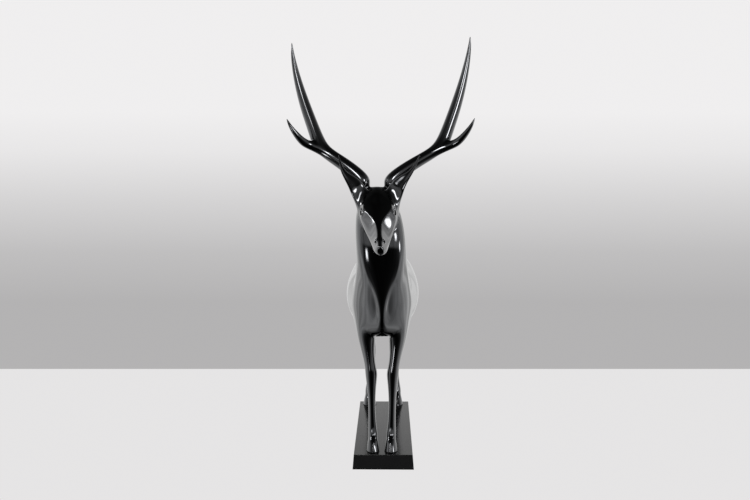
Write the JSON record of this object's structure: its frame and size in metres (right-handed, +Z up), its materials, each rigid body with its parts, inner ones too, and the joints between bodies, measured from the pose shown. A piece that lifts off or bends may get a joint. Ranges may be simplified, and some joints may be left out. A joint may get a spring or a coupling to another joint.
{
  "type": "deer sculpture",
  "caption": "Standing stag with raised antlers, cast in bronze and polished black, on a low rectangular plinth.",
  "frame": {"origin": "middle of the plinth's underside, where it rests on the ground", "axes": "+Z up; the stag faces -Y, and +X is its left side, on the viewer's right when seen from the front"},
  "size_m": [0.9114, 1.4797, 2.1688],
  "materials": {
    "bronze": "bronze with a black patina, lacquered and polished like a mirror",
    "plinth": "bronze with a black patina, satin on top, darker on its sides"
  },
  "bodies": {
    "root": {"stag": "bronze", "plinth": "plinth"}
  },
  "joints": []
}
